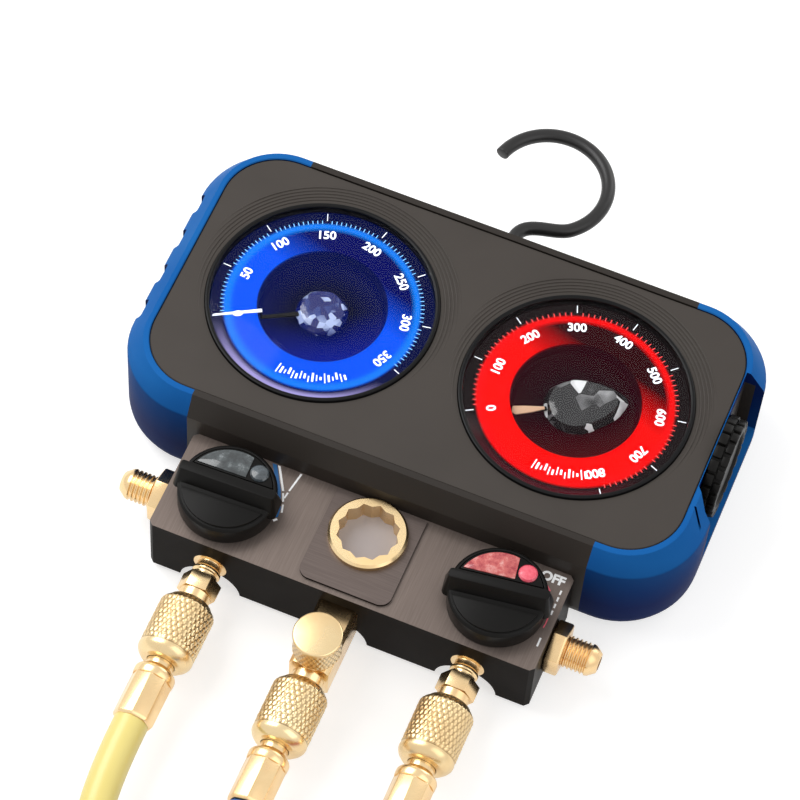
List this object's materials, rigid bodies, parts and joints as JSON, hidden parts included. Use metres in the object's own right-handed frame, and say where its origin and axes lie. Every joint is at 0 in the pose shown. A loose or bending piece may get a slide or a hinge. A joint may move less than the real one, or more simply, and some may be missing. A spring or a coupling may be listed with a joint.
{
  "type": "refrigerant manifold gauge",
  "caption": "Analogue refrigerant manifold gauge with two lit dials in a bumpered head, bar manifold with quarter-turn valves, sight glass, hanging hook and charging hoses.",
  "frame": {"origin": "middle of the flat back of the gauge head, which the head lies on", "axes": "+Z the way the dials face, +Y towards the hanging hook, +X towards the selector knob"},
  "size_m": [0.2705, 0.4985, 0.0479],
  "materials": {
    "shell_back": "fine grain black moulding",
    "shell_front": "fine grain black moulding",
    "bumper": "blue thermoplastic rubber, matt",
    "face_plastic": "warm dark grey moulding, fine matt grain",
    "screw_steel": "zinc plated",
    "cell_steel": "nickel plated cell can",
    "switch_plastic": "plain black nylon",
    "hook_steel": "black coated wire",
    "knob_black": "black moulding, satin",
    "case_plastic": "black moulding",
    "bezel": "gloss black",
    "lens_glass": "clear flat window",
    "light_guide": "clear light guide",
    "low_dial_face": "printed dial, lit blue ring",
    "high_dial_face": "printed dial, lit red ring",
    "movement_brass": "turned and stamped brass",
    "fitting_brass": "machined brass, satin",
    "needle_white": "white painted pointer with clear hub",
    "low_insert": "blue grey inlay",
    "high_insert": "red inlay",
    "block_coat": "black anodised aluminium, satin",
    "sight_window": "thick clear window",
    "low_hose": "yellow hose jacket, satin",
    "service_hose": "blue hose jacket, satin",
    "high_hose": "red hose jacket, satin"
  },
  "bodies": {
    "head": {"rear_housing": "shell_back", "front_cover": "shell_front", "left_bumper": "bumper", "right_bumper": "bumper", "face_plate": "face_plastic", "housing_screws": "screw_steel", "battery_cover": "shell_back", "coin_cells": "cell_steel", "selector_switch": "switch_plastic", "hook_bushing": "switch_plastic", "low_gauge_case": "case_plastic", "low_bezel_ring": "bezel", "low_lens": "lens_glass", "low_light_ring": "light_guide", "low_dial": "low_dial_face", "low_movement": "movement_brass", "low_gauge_socket": "fitting_brass", "low_bourdon_tube": "movement_brass", "high_gauge_case": "case_plastic", "high_bezel_ring": "bezel", "high_lens": "lens_glass", "high_light_ring": "light_guide", "high_dial": "high_dial_face", "high_movement": "movement_brass", "high_gauge_socket": "fitting_brass", "high_bourdon_tube": "movement_brass", "manifold_block": "block_coat", "centre_plate": "block_coat", "sight_glass_nut": "fitting_brass", "sight_glass": "sight_window", "flare_ports": "fitting_brass", "hose_nipples": "fitting_brass", "service_tee": "fitting_brass", "near_hose_ferrules": "fitting_brass", "far_hose_ferrules": "fitting_brass", "far_hose_nuts": "fitting_brass", "low_hose_tube": "low_hose", "low_hose_coil": "low_hose", "service_hose_tube": "service_hose", "service_hose_coil": "service_hose", "high_hose_tube": "high_hose", "high_hose_coil": "high_hose"},
    "hook": {"hook": "hook_steel", "hook_clip": "hook_steel"},
    "selector": {"selector_knob": "knob_black"},
    "low_needle": {"low_needle": "needle_white"},
    "low_sector": {"low_sector_gear": "movement_brass"},
    "low_valve": {"low_valve_knob": "knob_black", "low_knob_insert": "low_insert", "low_valve_stem": "fitting_brass"},
    "high_needle": {"high_needle": "needle_white"},
    "high_sector": {"high_sector_gear": "movement_brass"},
    "high_valve": {"high_valve_knob": "knob_black", "high_knob_insert": "high_insert", "high_valve_stem": "fitting_brass"},
    "service_cap": {"service_cap": "fitting_brass"},
    "low_hose_nut": {"low_hose_nut": "fitting_brass"},
    "service_hose_nut": {"service_hose_nut": "fitting_brass"},
    "high_hose_nut": {"high_hose_nut": "fitting_brass"}
  },
  "joints": [
    {"name": "low_needle_turn", "type": "hinge", "parent": "head", "child": "low_needle", "pos_m": [-0.0465, 0, 0.036], "axis": [0, 0, -1], "range_deg": [-33, 233], "stiffness_Nm_per_rad": 0.0005},
    {"name": "low_sector_turn", "type": "hinge", "parent": "head", "child": "low_sector", "pos_m": [-0.0465, -0.0196, 0.027], "axis": [0, 0, -1], "range_deg": [-27.08, 4.35]},
    {"name": "high_needle_turn", "type": "hinge", "parent": "head", "child": "high_needle", "pos_m": [0.0465, 0, 0.036], "axis": [0, 0, -1], "range_deg": [0, 267], "stiffness_Nm_per_rad": 0.0005},
    {"name": "high_sector_turn", "type": "hinge", "parent": "head", "child": "high_sector", "pos_m": [0.0465, -0.0196, 0.027], "axis": [0, 0, -1], "range_deg": [-30.94, 0.6]},
    {"name": "low_valve_turn", "type": "hinge", "parent": "head", "child": "low_valve", "pos_m": [-0.0485, -0.076, 0.032], "axis": [0, 0, -1], "range_deg": [0, 90]},
    {"name": "high_valve_turn", "type": "hinge", "parent": "head", "child": "high_valve", "pos_m": [0.0485, -0.076, 0.032], "axis": [0, 0, -1], "range_deg": [0, 90]},
    {"name": "hook_swivel", "type": "hinge", "parent": "head", "child": "hook", "pos_m": [0, 0.0565, 0.022], "axis": [0, 1, 0], "continuous": true},
    {"name": "selector_turn", "type": "hinge", "parent": "head", "child": "selector", "pos_m": [0.099, 0.002, 0.03], "axis": [1, 0, 0], "range_deg": [0, 300]},
    {"name": "service_cap_turn", "type": "hinge", "parent": "head", "child": "service_cap", "pos_m": [0, -0.1132, 0.028], "axis": [0, 0, 1], "continuous": true},
    {"name": "low_hose_nut_turn", "type": "hinge", "parent": "head", "child": "low_hose_nut", "pos_m": [-0.0465, -0.12275, 0.015], "axis": [0, 1, 0], "continuous": true},
    {"name": "service_hose_nut_turn", "type": "hinge", "parent": "head", "child": "service_hose_nut", "pos_m": [0, -0.13625, 0.015], "axis": [0, 1, 0], "continuous": true},
    {"name": "high_hose_nut_turn", "type": "hinge", "parent": "head", "child": "high_hose_nut", "pos_m": [0.0465, -0.12275, 0.015], "axis": [0, 1, 0], "continuous": true}
  ],
  "couplings": [
    {"joint": "low_sector_turn", "follows": "low_needle_turn", "ratio": -0.11364},
    {"joint": "high_sector_turn", "follows": "high_needle_turn", "ratio": -0.11364}
  ]
}
